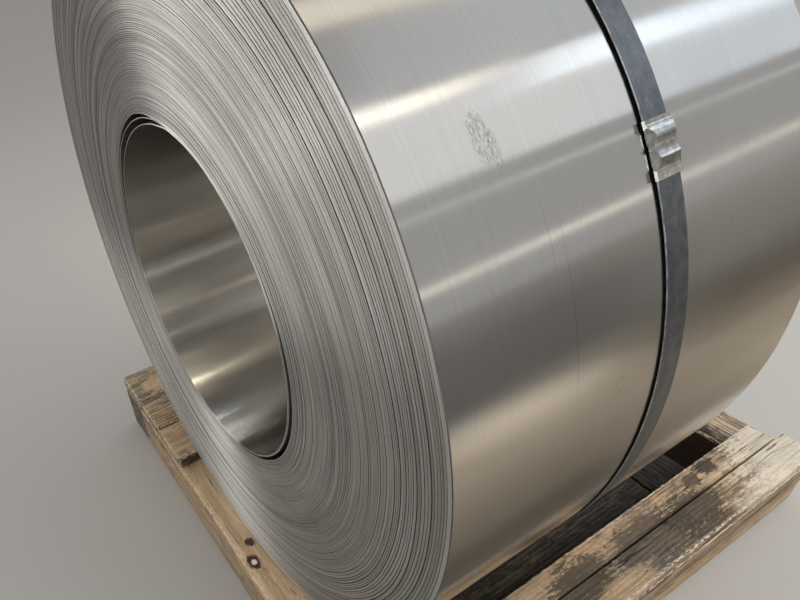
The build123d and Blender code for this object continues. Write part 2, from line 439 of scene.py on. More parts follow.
steel = mix(tree, steel, ramp(tree, rolling, (0.30, 0.935), (0.70, 1.0)), 1.0, "MULTIPLY")
rubs = spread(tree, grain(tree, coil_polar(tree, 0, 110.0, 900), 1.0, 3.0), 0.0, 1.0, 0.46, 0.56)
object_place = add_node(tree, "ShaderNodeTexCoord").outputs["Object"]
for centre, size, inside_edge, rubbed, strength in handling_marks:
    reach = far_from(tree, object_place, centre, size)
    mark = spread(tree, reach, strength, 0.0, 0.75, 1.0)
    mark = reckon(tree, "MULTIPLY", mark, spread(tree, reach, 0.0, 1.0, inside_edge - 0.1, inside_edge + 0.1))
    mark = reckon(tree, "MULTIPLY", mark, mix(tree, (1, 1, 1), rubs, rubbed))
    steel = mix(tree, steel, (0.22, 0.21, 0.19), mark)
plug(tree, steel, shader.inputs["Base Color"])
shader.inputs["Metallic"].default_value = 1.0
plug(tree, spread(tree, clouds, 0.11, 0.18, 0.35, 0.70), shader.inputs["Roughness"])
scratch_across(tree, shader, "along", 0.85)
emboss(tree, shader, (rolling, 0.000009))

# The same strip inside the bore, a little duller from the mandrel.
bore_steel, tree, shader = new_material("bore_steel")
clouds = grain(tree, coil_polar(tree, 0, 4.0, 6), 1.0, 4.0)
steel = ramp(tree, clouds, (0.30, (0.45, 0.435, 0.40)), (0.70, (0.50, 0.485, 0.45)))
plug(tree, steel, shader.inputs["Base Color"])
shader.inputs["Metallic"].default_value = 1.0
plug(tree, spread(tree, clouds, 0.22, 0.25, 0.35, 0.70), shader.inputs["Roughness"])
scratch_across(tree, shader, "along", 1.0)

# Deep in the gaps the strip is dull and dark: painted shade, where the gaps lie in shade.
gap_steel_painted_shade, tree, shader = new_material("gap_steel_painted_shade")
gap_mottle = grain(tree, coil_polar(tree, 300, 12.0, 200), 1.0, 3.0)
painted_gap_shade = ramp(tree, gap_mottle, (0.30, (0.060, 0.056, 0.050)), (0.70, (0.14, 0.132, 0.12)))
plug(tree, painted_gap_shade, shader.inputs["Base Color"])
shader.inputs["Metallic"].default_value = 0.5
shader.inputs["Roughness"].default_value = 0.55

for material in (slit_edge_steel, rolled_steel, bore_steel, gap_steel_painted_shade):
    wound_coil.data.materials.append(material)
deselect_all()
wound_coil.select_set(True)
bpy.context.view_layer.objects.active = wound_coil
bpy.ops.object.shade_smooth_by_angle(angle=radians(20))
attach(wound_coil, "root")
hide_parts("coil")

# The sprung inner turns
#
# The innermost two turns are the same strip, sprung in from the wound bore. Both stand
# about 9 mm clear of it at the right, and at the upper left the innermost one stands
# 13 mm clear of the second. Each is given by its inner radius at angles in degrees.

innermost_radii = {
    -60: 0.2500, -50: 0.2481, -40: 0.2471, -25: 0.2458, -8: 0.2452, 10: 0.2452, 22: 0.2464, 42: 0.2470,
    62: 0.2470, 85: 0.2450, 95: 0.2420, 105: 0.2405, 115: 0.2396, 135: 0.2393, 148: 0.2404, 165: 0.2405,
    180: 0.2430, 200: 0.2461, 230: 0.2490, 265: 0.2505,
}
second_radii = {
    -60: 0.2514, -50: 0.2496, -40: 0.2485, -25: 0.2472, -8: 0.2466, 10: 0.2466, 22: 0.2478, 42: 0.2484,
    62: 0.2484, 85: 0.2466, 100: 0.2480, 110: 0.2493, 120: 0.2508, 130: 0.2528, 140: 0.2546, 150: 0.2528,
    165: 0.2511, 180: 0.2510, 200: 0.2505, 230: 0.2506, 265: 0.2519,
}
sprung_steps = 2 * round_steps
crease_count = 17
crease_depth = 0.00010
eased_edge = 0.0002

for name, radii, set_back in (
    ("innermost_turn", innermost_radii, 0.0004),
    ("second_turn", second_radii, 0.0012),
):
    deselect_all()
    near_edge = coil_axis + Vector((0, near_end + set_back, 0))
    bpy.ops.mesh.primitive_circle_add(
        vertices=sprung_steps, radius=0.25, location=near_edge, rotation=(pi / 2, 0, 0),
    )
    sprung_turn = bpy.context.object
    sprung_turn.name = name
    bpy.ops.object.transform_apply(location=True, rotation=True, scale=True)
    for vertex in sprung_turn.data.vertices:
        angle = place_round_axis(vertex)[1]
        crease = crease_depth * noise.noise(Vector((crease_count * cos(angle), crease_count * sin(angle), 0)))
        put_round_axis(vertex, radius_at(radii, angle) + crease, angle)
    bpy.ops.object.mode_set(mode="EDIT")
    bpy.ops.mesh.select_all(action="SELECT")
    bpy.ops.mesh.extrude_region_move(TRANSFORM_OT_translate={"value": (0, coil_width - 2 * set_back, 0)})
    bpy.ops.mesh.select_all(action="SELECT")
    bpy.ops.mesh.normals_make_consistent(inside=True)
    bpy.ops.object.mode_set(mode="OBJECT")
    thicken = sprung_turn.modifiers.new("strip", "SOLIDIFY")
    thicken.thickness = strip_thickness
    thicken.offset = -1
    ease = sprung_turn.modifiers.new("eased_edges", "BEVEL")
    ease.width = eased_edge
    ease.segments = 1
    bpy.ops.object.modifier_apply(modifier="strip")
    bpy.ops.object.modifier_apply(modifier="eased_edges")
    # Their slit edges get the brightest tone, a painted highlight along them.
    tones = sprung_turn.data.attributes.new("turn_tone", "FLOAT", "FACE")
    for face in sprung_turn.data.polygons:
        face.material_index = 1 if abs(face.normal.y) > 0.5 else 0
        tones.data[face.index].value = 1.0
    for material in (bore_steel, slit_edge_steel):
        sprung_turn.data.materials.append(material)
    bpy.ops.object.shade_smooth_by_angle(angle=radians(20))
    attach(sprung_turn, "root")

# The strap
#
# One blued steel strap, 32 mm wide, pulled tight round the outside of the coil. It
# bridges the settled top of the coil a little, and runs slightly askew.

strap_low, strap_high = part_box("strap")
strap_width = strap_high.y - strap_low.y
strap_clearance = 0.0002
strap_thickness = 0.0010
strap_chamfer = 0.0004
strap_bridge = 0.0010
strap_skew = 0.0040
strap_tilt = 0.0011


def strap_lift(angle, nearness):
    """How far the strap stands off its plain circle; its near edge (nearness 1) is tilted up."""
    tilted = strap_tilt * nearness * min(1, max(0, 5 * (sin(angle) + 0.92)))
    return strap_bridge * max(0, sin(angle)) - sag(angle) + tilted


inside = coil_radius + strap_clearance
outside = inside + strap_thickness
edge_low = strap_low.y
edge_high = strap_high.y
band_profile = [
    (inside, edge_low), (outside - strap_chamfer, edge_low), (outside, edge_low + 2 * strap_chamfer),
    (outside, edge_high - 2 * strap_chamfer), (outside - strap_chamfer, edge_high), (inside, edge_high),
    (inside, edge_low),
]
strap = start_point("strap_band", coil_axis + Vector((inside, edge_low, 0)))
draw_through(band_profile)
turn_round_axis()
bpy.ops.object.mode_set(mode="OBJECT")
for face in strap.data.polygons:
    radius = hypot(face.center.x - coil_axis.x, face.center.z - coil_axis.z)
    if radius > outside - strap_chamfer * 0.9 and face.area < 0.001 * strap_width:
        face.material_index = 1
for vertex in strap.data.vertices:
    radius, angle = place_round_axis(vertex)
    nearness = (edge_high - vertex.co.y) / strap_width
    put_round_axis(vertex, radius + strap_lift(angle, nearness), angle)
    vertex.co.y += strap_skew * sin(angle)

# Blued face of the strap: blue-black, mottled, with faint drawn lines along it.
blued_steel, tree, shader = new_material("blued_steel")
drawn = grain(tree, coil_polar(tree, 0, 1.5, 900), 1.0, 3.0)
mottle = grain(tree, coil_polar(tree, 0, 45.0, 90), 1.0, 4.0, 0.65)
worn = grain(tree, coil_polar(tree, 0, 130.0, 260), 1.0, 2.0)
blue = ramp(tree, mottle, (0.30, (0.120, 0.135, 0.155)), (0.70, (0.215, 0.238, 0.270)))
blue = mix(tree, blue, (0.36, 0.37, 0.39), ramp(tree, worn, (0.68, 0.0), (0.74, 0.5)))
blue = mix(tree, blue, ramp(tree, drawn, (0.30, 0.80), (0.70, 1.0)), 1.0, "MULTIPLY")
plug(tree, blue, shader.inputs["Base Color"])
shader.inputs["Metallic"].default_value = 0.85
plug(tree, spread(tree, mottle, 0.28, 0.46), shader.inputs["Roughness"])
emboss(tree, shader, (mottle, 0.00008), (drawn, 0.00002))

# Slit edges of the strap, where the blue is rubbed off.
rubbed_edge_steel, tree, shader = new_material("rubbed_edge_steel")
nicks = grain(tree, coil_polar(tree, 0, 60.0, 60), 1.0, 3.0)
bare = ramp(tree, nicks, (0.35, (0.30, 0.30, 0.31)), (0.60, (0.80, 0.80, 0.80)))
plug(tree, bare, shader.inputs["Base Color"])
shader.inputs["Metallic"].default_value = 1.0
plug(tree, spread(tree, nicks, 0.25, 0.40), shader.inputs["Roughness"])

for material in (blued_steel, rubbed_edge_steel):
    strap.data.materials.append(material)
bpy.ops.object.shade_smooth_by_angle(angle=radians(20))
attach(strap, "root")
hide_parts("strap")

# The seal
#
# A sleeve of galvanised sheet pressed over the lapped ends of the strap. A hand tool
# has crimped it twice: each crimp bites deep into the near side and less into the far
# one, folds them down to the coil and throws the sheet up in a sharp crease across.

seal_angle = radians(30.6)
seal_length = 0.050
seal_sheet = 0.0008
seal_half_width = strap_width / 2 + 0.0012
seal_side_height = 0.0028
seal_flat_lip = 0.08
seal_run_out = 0.17
crimp_places = (0.31, 0.655)
crimp_reach = 0.175
near_bite = 0.0062
far_bite = 0.0016
crimp_rise = 0.0024
dish_depth = 0.0018
side_columns = 0.3
seal_rows = 84
seal_columns = 40
seal_middle = (strap_low.y + strap_high.y) / 2 + strap_skew * sin(seal_angle)


def seal_rise(share):
    """How far the sheet stands up at a share of the seal's length from its upper end."""
    first, second = crimp_places
    if share < first:
        return crimp_rise * sin(pi / 2 * max(0, (share - seal_flat_lip) / (first - seal_flat_lip)))
    if share < second:
        off = (2 * share - first - second) / (second - first)
        return crimp_rise - dish_depth * (1 - off * off)
    return crimp_rise * max(0, 1 - (share - second) / seal_run_out) ** 1.4


deselect_all()
bpy.ops.mesh.primitive_grid_add(x_subdivisions=seal_rows, y_subdivisions=seal_columns, size=1)
strap_seal = bpy.context.object
strap_seal.name = "crimped_seal"
for vertex in strap_seal.data.vertices:
    share = vertex.co.x + 0.5
    column = abs(vertex.co.y) * 2
    side = 1 if vertex.co.y > 0 else -1
    bite = max(max(0, 1 - ((share - place) / crimp_reach) ** 2) for place in crimp_places)
    fold = seal_half_width - (far_bite if side > 0 else near_bite) * bite ** 0.8
    top = seal_side_height + seal_rise(share)
    if column < 1 - side_columns:
        across = fold * column / (1 - side_columns)
        height = top
    else:
        folded = (column - 1 + side_columns) / side_columns
        across = fold + (seal_half_width - fold) * folded ** 0.8
        height = top * (1 - folded) ** (1 + 0.5 * bite)
    vertex.co.y = seal_middle + side * across
    nearness = 0.5 - side * across / strap_width
    angle = seal_angle - (share - 0.5) * seal_length / outside
    put_round_axis(vertex, inside + strap_lift(angle, nearness) + height, angle)
bpy.ops.object.mode_set(mode="EDIT")
bpy.ops.mesh.select_all(action="SELECT")
bpy.ops.mesh.normals_make_consistent(inside=False)
bpy.ops.object.mode_set(mode="OBJECT")
thicken = strap_seal.modifiers.new("sheet", "SOLIDIFY")
thicken.thickness = seal_sheet
thicken.offset = -1
bpy.ops.object.modifier_apply(modifier="sheet")

# Galvanised face: pale spangles, nearly a mirror, with fine lines where the tool has wiped it.
zinc, tree, shader = new_material("zinc")
spangle = grain(tree, coil_polar(tree, 300, 90.0, 160), 1.0, 3.0)
wiped = grain(tree, coil_polar(tree, 0, 60.0, 1600), 1.0, 2.0)
spangled = ramp(tree, spangle, (0.30, (0.31, 0.31, 0.305)), (0.70, (0.56, 0.555, 0.54)))
plug(tree, spangled, shader.inputs["Base Color"])
shader.inputs["Metallic"].default_value = 1.0
plug(tree, spread(tree, spangle, 0.10, 0.18), shader.inputs["Roughness"])
emboss(tree, shader, (spangle, 0.00010), (wiped, 0.00002))
strap_seal.data.materials.append(zinc)
bpy.ops.object.shade_smooth_by_angle(angle=radians(45))
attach(strap_seal, "root")
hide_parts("strap_seal")

# The skid's timbers
#
# Old softwood, sawn square and nailed: two runners, four cross beams and two bearers
# between them, a bed of five boards under the coil, and planks along both sides. Corners
# are knocked off, faces weathered and split along the grain, oil and dirt soaked in.

arris_reach = 0.007
ridge_stretch = 16


def soften_timber(timber, along, arris_bevel, cell, tight, seed):
    """Round a timber's corners, roughen its faces and chip all but a tight side's arrises."""
    low = Vector(timber.bound_box[0])
    high = Vector(timber.bound_box[6])
    middle = (low.x + high.x) / 2
    bpy.ops.object.mode_set(mode="EDIT")
    bpy.ops.mesh.select_all(action="DESELECT")
    bpy.ops.mesh.select_mode(type="EDGE")
    bpy.ops.object.mode_set(mode="OBJECT")
    for edge in timber.data.edges:
        edge.select = any((timber.data.vertices[end].co.x - middle) * tight <= 0 for end in edge.vertices)
    bpy.ops.object.mode_set(mode="EDIT")
    bpy.ops.mesh.bevel(offset=arris_bevel, segments=2, affect="EDGES")
    bpy.ops.object.mode_set(mode="OBJECT")
    cells = timber.modifiers.new("cells", "REMESH")
    cells.mode = "VOXEL"
    cells.voxel_size = cell
    bpy.ops.object.modifier_apply(modifier="cells")
    group = timber.vertex_groups.new(name="arris")
    for vertex in timber.data.vertices:
        gaps = sorted(min(vertex.co[axis] - low[axis], high[axis] - vertex.co[axis]) for axis in range(3))
        free = 0 if (vertex.co.x - middle) * tight > 0 else 1
        group.add([vertex.index], free * exp(-((gaps[1] / arris_reach) ** 2)), "REPLACE")
    stretch = Vector((1, 1, 1))
    stretch[along] = ridge_stretch
    bpy.ops.object.empty_add(location=(0.37 * seed, 0.61 * seed, 0.23 * seed))
    guide = bpy.context.object
    for name, size, strength, scale, where in (
        ("bow", 0.20, 0.0014, Vector((1, 1, 1)), ""),
        ("chips", 0.011, 0.0052, Vector((1, 1, 1)), "arris"),
        ("ridges", 0.010, 0.0006, stretch, ""),
    ):
        pattern = bpy.data.textures.new(name, "CLOUDS")
        pattern.noise_scale = size
        pattern.noise_depth = 2
        guide.scale = scale
        bpy.context.view_layer.update()
        relief = timber.modifiers.new(name, "DISPLACE")
        relief.texture = pattern
        relief.texture_coords = "OBJECT"
        relief.texture_coords_object = guide
        relief.strength = strength
        relief.mid_level = 0.92
        relief.vertex_group = where
        deselect_all()
        timber.select_set(True)
        bpy.context.view_layer.objects.active = timber
        bpy.ops.object.modifier_apply(modifier=name)
    bpy.data.objects.remove(guide)


def weathered_wood(name, along, shift, greyness, dirtiness, shade, marks=()):
    """Old wood with its grain along an axis, and marks at places of a given size."""
    material, tree, shader = new_material(name)
    place = add_node(tree, "ShaderNodeTexCoord").outputs["Object"]
    stretches = []
    for share in (0.05, 0.35):
        lengthwise = [1.0, 1.0, 1.0]
        lengthwise[along] = share
        stretched = add_node(tree, "ShaderNodeMapping", Location=shift, Scale=lengthwise)
        plug(tree, place, stretched.inputs["Vector"])
        stretches.append(stretched.outputs["Vector"])
    grown, ragged = stretches
    rings = add_node(tree, "ShaderNodeTexWave", wave_type="RINGS", rings_direction="XYZ"[along])
    for socket, value in (("Scale", 46), ("Distortion", 7.0), ("Detail", 3.0), ("Detail Scale", 0.8)):
        rings.inputs[socket].default_value = value
    plug(tree, grown, rings.inputs["Vector"])
    fibre = grain(tree, grown, 700, 4.0, 0.7)
    bands = grain(tree, grown, 70, 4.0, 0.6, 0.4)
    weather = grain(tree, place, 9, 5.0, 0.6)
    blotch = grain(tree, ragged, 60, 7.0, 0.75)
    flecks = grain(tree, ragged, 330, 4.0, 0.75)
    tone = reckon(tree, "MULTIPLY_ADD", rings.outputs["Fac"], 0.10, reckon(tree, "MULTIPLY", fibre, 0.50))
    tone = reckon(tree, "MULTIPLY_ADD", bands, 0.40, tone)
    wood = ramp(
        tree, tone, (0.38, (0.105, 0.068, 0.038)), (0.46, (0.265, 0.182, 0.108)),
        (0.53, (0.440, 0.315, 0.195)), (0.62, (0.700, 0.560, 0.395)),
    )
    grey = ramp(
        tree, tone, (0.38, (0.080, 0.070, 0.058)), (0.50, (0.23, 0.205, 0.175)), (0.62, (0.48, 0.44, 0.385)),
    )
    greyed = spread(tree, weather, greyness - 0.35, greyness + 0.65, 0.35, 0.65)
    wood = mix(tree, wood, grey, greyed)
    soaked = spread(tree, blotch, 0.0, 1.0, 0.48, 0.54)
    dirt = reckon(tree, "MULTIPLY", soaked, spread(tree, flecks, 1.0, 0.3, 0.50, 0.58))
    wood = mix(tree, wood, (0.060, 0.048, 0.036), reckon(tree, "MULTIPLY", dirt, dirtiness))
    scraped = spread(tree, fibre, 0.0, 1.0, 0.56, 0.64)
    scraped = reckon(tree, "MULTIPLY", scraped, spread(tree, flecks, 0.0, 0.8, 0.50, 0.58))
    wood = mix(tree, wood, (0.66, 0.55, 0.42), scraped)
    for centre, size, strength, colour in marks:
        edge = reckon(tree, "MULTIPLY_ADD", blotch, 2.6, far_from(tree, place, centre, size))
        edge = reckon(tree, "MULTIPLY_ADD", flecks, 1.8, edge)
        wood = mix(tree, wood, colour, spread(tree, edge, strength, 0.0, 3.00, 3.30))
    # The arrises: lighter where worn, with a painted highlight along them.
    worn = add_node(tree, "ShaderNodeAttribute", attribute_name="arris").outputs["Fac"]
    arris_wear_and_highlight = spread(tree, worn, 0.0, 0.85, 0.30, 0.8)
    arris_wear_and_highlight = reckon(tree, "MULTIPLY", arris_wear_and_highlight, spread(tree, flecks, 0.0, 1.0, 0.46, 0.55))
    wood = mix(tree, wood, (0.76, 0.64, 0.49), arris_wear_and_highlight)
    split = reckon(tree, "ABSOLUTE", reckon(tree, "SUBTRACT", grain(tree, grown, 30, 3.0, 0.55, 0.3), 0.5))
    split = spread(tree, split, 1.0, 0.0, 0.0012, 0.0045)
    split = reckon(tree, "MULTIPLY", split, spread(tree, weather, 0.0, 1.0, 0.48, 0.52))
    wood = mix(tree, wood, (0.030, 0.022, 0.016), reckon(tree, "MULTIPLY", split, 0.85))
    pits = spread(tree, grain(tree, ragged, 200, 2.0), 1.0, 0.0, 0.26, 0.32)
    wood = mix(tree, wood, (0.05, 0.038, 0.028), reckon(tree, "MULTIPLY", pits, 0.7))
    # Painted light and shade: the whole colour is scaled by the timber's shade.
    wood = mix(tree, wood, (shade, shade, shade), 1.0, "MULTIPLY")
    plug(tree, wood, shader.inputs["Base Color"])
    shader.inputs["Roughness"].default_value = 0.78
    shader.inputs["Specular IOR Level"].default_value = 0.25
    emboss(tree, shader, (bands, 0.0005), (fibre, 0.0005), (reckon(tree, "MULTIPLY", split, -1.0), 0.0020))
    return material


along_x = 0
along_y = 1
beam_top = 0.120
plank_top = 0.152
oil = (0.062, 0.052, 0.042)
rust_and_painted_shade = (0.045, 0.028, 0.020)
pale_and_painted_light = (0.76, 0.69, 0.58)
fresh = (0.56, 0.39, 0.235)
shadow = (0.030, 0.021, 0.015)

# Marks on the timbers, each with its centre, size, strength and colour.
# On the right planks, the pale patches at the far end are painted light. The rest are fresh wood and oil.
right_marks = (
    ((0.475, 0.440, plank_top), (0.080, 0.110, 0.05), 0.60, pale_and_painted_light),
    ((0.510, 0.330, plank_top), (0.022, 0.080, 0.05), 0.40, pale_and_painted_light),
    ((0.428, 0.285, plank_top), (0.034, 0.060, 0.05), 0.50, fresh),
    ((0.430, -0.140, plank_top), (0.026, 0.260, 0.05), 0.60, fresh),
    ((0.424, 0.302, plank_top), (0.016, 0.024, 0.05), 0.95, oil),
    ((0.432, 0.250, plank_top), (0.014, 0.022, 0.05), 0.85, oil),
    ((0.468, 0.195, plank_top), (0.036, 0.060, 0.05), 0.85, oil),
    ((0.508, 0.190, plank_top), (0.018, 0.060, 0.05), 0.75, oil),
    ((0.470, 0.080, plank_top), (0.045, 0.090, 0.05), 0.80, oil),
    ((0.455, -0.070, plank_top), (0.036, 0.070, 0.05), 0.85, oil),
    ((0.500, -0.020, plank_top), (0.018, 0.060, 0.05), 0.50, fresh),
)
side_marks = (
    ((0.520, 0.050, 0.076), (0.030, 0.420, 0.0022), 0.92, shadow),
    ((0.520, 0.380, 0.084), (0.030, 0.090, 0.0040), 0.92, shadow),
    ((0.520, 0.000, 0.030), (0.010, 0.700, 0.0300), 0.45, fresh),
)
front_marks = (
    ((0.000, -0.460, beam_top), (0.340, 0.060, 0.10), 0.55, fresh),
    ((0.104, -0.491, beam_top), (0.016, 0.012, 0.05), 0.98, rust_and_painted_shade),
    ((0.104, -0.491, beam_top), (0.0055, 0.005, 0.05), 0.95, pale_and_painted_light),
    ((0.063, -0.476, beam_top), (0.011, 0.009, 0.05), 0.95, rust_and_painted_shade),
)
# On the left planks: fresh wood, and painted shade along the side of the inner plank that faces the coil.
left_marks = (
    ((-0.230, -0.330, plank_top), (0.080, 0.260, 0.10), 0.55, fresh),
    ((-0.177, -0.330, 0.134), (0.007, 0.300, 0.05), 0.93, rust_and_painted_shade),
    ((-0.440, -0.440, plank_top), (0.040, 0.040, 0.05), 0.55, fresh),
)
# Painted shade in the hollow behind the bed, on the near face of the far cross beam.
painted_hollow_shade = (((0.300, 0.410, 0.060), (0.300, 0.040, 0.08), 0.97, rust_and_painted_shade),)

# Each timber with the way of its grain, how far its arrises are rounded, the size of its
# mesh, its greyness, dirtiness and shade, and its marks.
# The shade is painted light and shade: it is low for the timbers in shadow under and behind the coil, and
# high for the lit ones.
timbers = (
    ("runner_left", along_y, 0.004, 0.0055, 0.55, 0.5, 0.80, ()),
    ("runner_right", along_y, 0.003, 0.0040, 0.05, 0.3, 1.20, side_marks),
    ("cross_beam_1", along_x, 0.004, 0.0035, 0.00, 0.2, 1.35, front_marks),
    ("cross_beam_2", along_x, 0.006, 0.0070, 0.60, 0.6, 0.40, ()),
    ("cross_beam_3", along_x, 0.004, 0.0055, 0.90, 0.6, 0.12, ()),
    ("cross_beam_4", along_x, 0.004, 0.0045, 0.50, 0.3, 1.35, painted_hollow_shade),
    ("bed_bearer_front", along_x, 0.006, 0.0070, 0.60, 0.6, 0.40, ()),
    ("bed_bearer_back", along_x, 0.006, 0.0070, 0.60, 0.6, 0.40, ()),
    ("bed_board_1", along_y, 0.004, 0.0060, 0.70, 0.6, 0.30, ()),
    ("bed_board_2", along_y, 0.004, 0.0060, 0.70, 0.6, 0.25, ()),
    ("bed_board_3", along_y, 0.004, 0.0060, 0.70, 0.6, 0.20, ()),
    ("bed_board_4", along_y, 0.004, 0.0060, 0.70, 0.6, 0.16, ()),
    ("bed_board_5", along_y, 0.004, 0.0050, 0.50, 0.7, 0.16, ()),
    ("plank_left_1", along_y, 0.004, 0.0040, 0.10, 0.5, 1.35, left_marks),
    ("plank_left_2", along_y, 0.004, 0.0040, 0.05, 0.3, 1.05, ()),
    ("plank_left_3", along_y, 0.004, 0.0040, 0.00, 0.2, 1.15, left_marks),
    ("plank_right_1", along_y, 0.002, 0.0028, 0.05, 0.6, 1.30, right_marks),
    ("plank_right_2", along_y, 0.002, 0.0028, 0.10, 0.6, 1.30, right_marks),
)

# The two right planks lie side by side, so the arrises where they meet stay sharp.
tight_sides = {"plank_right_1": 1, "plank_right_2": -1}
for order, (node, along, arris_bevel, cell, greyness, dirtiness, shade, marks) in enumerate(timbers):
    low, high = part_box(node)
    deselect_all()
    bpy.ops.mesh.primitive_cube_add(size=1, location=(low + high) / 2)
    timber = bpy.context.object
    timber.name = "weathered_" + node
    timber.scale = high - low
    bpy.ops.object.transform_apply(location=True, rotation=True, scale=True)
    soften_timber(timber, along, arris_bevel, cell, tight_sides.get(node, 0), order + 1)
    shift = (0.31 * order, 0.17 * order, 0.13 * order + 0.4)
    wood = weathered_wood("wood_of_" + node, along, shift, greyness, dirtiness, shade, marks)
    timber.data.materials.append(wood)
    bpy.ops.object.shade_smooth_by_angle(angle=radians(40))
    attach(timber, "root")
    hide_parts(node)

# The floor, the lamps and the camera
#
# A plain pale floor under long soft lamps that lie along the coil's axis. The lamps for
# the bore and the windows for the ends light the coil alone, and the cards low down on
# each side show only as reflections. The camera stands close in front of the coil, right
# of its axis and above it, as in the photograph.

floor_size = 60
floor_drop = 0.0005
bpy.ops.mesh.primitive_plane_add(size=floor_size, location=(0, 0, -floor_drop))
floor = bpy.context.object
floor.name = "floor"
pale_floor, tree, shader = new_material("pale_floor")
shader.inputs["Base Color"].default_value = (0.56, 0.55, 0.53, 1)
shader.inputs["Roughness"].default_value = 0.8
floor.data.materials.append(pale_floor)
floor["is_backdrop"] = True

world = bpy.data.worlds.new("studio")
bpy.context.scene.world = world
world.use_nodes = True
world.node_tree.nodes["Background"].inputs["Color"].default_value = (0.445, 0.433, 0.417, 1)
world.node_tree.nodes["Background"].inputs["Strength"].default_value = 1.0

lamp_reach = 2.4
outside_aim = Vector((0.40, 0, 0.90))
bore_aim = Vector((-0.10, 0, 0.40))
left_aim = Vector((-0.40, 0, 0.90))
white = (1.0, 0.99, 0.97)
bluish = (0.76, 0.88, 1.0)
warm = (1.0, 0.90, 0.72)


def add_lamp(name, place, towards, size, brightness, colour):
    """A soft lamp of a width and a height, whose back faces towards a direction."""
    data = bpy.data.lights.new(name, "AREA")
    data.shape = "RECTANGLE"
    data.size, data.size_y = size
    data.energy = brightness * pi * data.size * data.size_y
    data.color = colour
    lamp = bpy.data.objects.new(name, data)
    bpy.context.collection.objects.link(lamp)
    lamp.location = place
    lamp.rotation_euler = towards.to_track_quat("Z", "Y").to_euler()
    lamp.visible_camera = False
    return lamp


# What the bore's lamps light, and what the windows light.
sprung_turns = bpy.data.collections.new("sprung_turns")
all_turns = bpy.data.collections.new("all_turns")
for name in ("innermost_turn", "second_turn"):
    sprung_turns.objects.link(bpy.data.objects[name])
    all_turns.objects.link(bpy.data.objects[name])
all_turns.objects.link(wound_coil)

# Strip lamps and soft boxes: where each aims, its elevation and how wide it looks from
# there, in degrees, where it starts and ends along the axis, its brightness and colour.
for name, aim, elevation, spread_angle, start, end, brightness, colour in (
    ("low_strip", outside_aim, 12, 2.2, 0.6, 7.0, 0.70, warm),
    ("lower_edge_strip", outside_aim, 32, 1.6, 0.6, 7.0, 0.25, white),
    ("right_soft_box_near", outside_aim, 52, 29, 0.3, 3.2, 0.50, white),
    ("right_soft_box_far", outside_aim, 52, 29, 3.2, 7.0, 0.55, bluish),
    ("upper_edge_strip_near", outside_aim, 63, 4.0, 0.0, 1.9, 1.40, warm),
    ("upper_edge_strip_far", outside_aim, 62, 9.0, 2.5, 7.0, 1.00, bluish),
    ("upper_soft_box", outside_aim, 78, 20, 1.2, 7.0, 0.25, bluish),
    ("overhead_strip", outside_aim, 93, 8.0, 0.3, 7.0, 0.75, warm),
    ("bore_low_box", bore_aim, 26, 7, -3.0, -0.4, 0.80, warm),
    ("bore_low_line", bore_aim, 33, 1.6, -3.0, -0.3, 3.20, warm),
    ("bore_low_line_far", bore_aim, 33, 1.6, 1.2, 5.0, 3.80, warm),
    ("bore_middle_line", bore_aim, 51, 1.6, -3.0, -0.3, 3.60, warm),
    ("bore_middle_line_far", bore_aim, 51, 1.6, 1.2, 5.0, 1.60, warm),
    ("bore_soft_box", bore_aim, 87, 36, -3.0, -0.4, 1.30, warm),
    ("bore_bright_line", bore_aim, 90.5, 2.0, -3.5, -0.3, 34.0, warm),
    ("bore_bright_line_far", bore_aim, 90.5, 2.0, 1.2, 5.0, 2.40, warm),
    ("bore_left_line", bore_aim, 127, 1.3, -3.0, -0.3, 22.0, bluish),
    ("left_edge_strip", left_aim, 120, 4.0, -7.0, 7.0, 0.40, bluish),
    ("left_soft_box", left_aim, 140, 24, -7.0, 7.0, 0.50, white),
):
    towards = Vector((cos(radians(elevation)), 0, sin(radians(elevation))))
    place = aim + lamp_reach * towards + Vector((0, (start + end) / 2, 0))
    across = 2 * lamp_reach * sin(radians(spread_angle / 2))
    lamp = add_lamp(name, place, towards, (end - start, across), brightness, colour)
    if name.startswith("bore"):
        lamp.light_linking.receiver_collection = sprung_turns

# Windows before the coil's near end: each with its heading in degrees, its width, its
# lower and upper edges from the height of the axis, and its brightness.
window_reach = 3.0
for name, heading, width, low, high, brightness in (
    ("far_left_window", -174, 1.28, 0.80, 1.40, 7.5),
    ("left_window", -156, 1.92, 1.40, 2.20, 12.0),
    ("corner_window", -132, 0.64, -0.30, 2.20, 4.2),
    ("front_window", -125, 0.70, -0.42, 0.00, 9.5),
    ("near_window", -101, 1.20, -0.30, 0.35, 2.4),
    ("right_window", -62, 2.40, -0.60, 2.00, 2.5),
):
    towards = Vector((cos(radians(heading)), sin(radians(heading)), 0))
    place = coil_axis + window_reach * towards + Vector((0, near_end, (low + high) / 2))
    window = add_lamp(name, place, towards, (width, high - low), brightness, white)
    window.visible_diffuse = False
    window.light_linking.receiver_collection = all_turns

# The lit floor before the coil, as the steel mirrors it.
floor_glow_place = Vector((-0.25, -0.90, 0.01))
floor_glow = add_lamp("floor_glow", floor_glow_place, Vector((0, 0, -1)), (1.0, 0.55), 0.14, white)
floor_glow.visible_diffuse = False

# Soft light from above and from the far right, which shows in no reflection.
above = Vector((0.15, 0, 1))
fill = add_lamp("fill", coil_axis + 4.5 * above, above, (14.0, 3.8), 0.40, white)
fill.visible_glossy = False
away = Vector((0.70, 0.50, 0.80)).normalized()
side_fill = add_lamp("side_fill", Vector((0.45, 0.45, 0.15)) + 3.0 * away, away, (2.6, 2.6), 1.7, white)
side_fill.visible_glossy = False

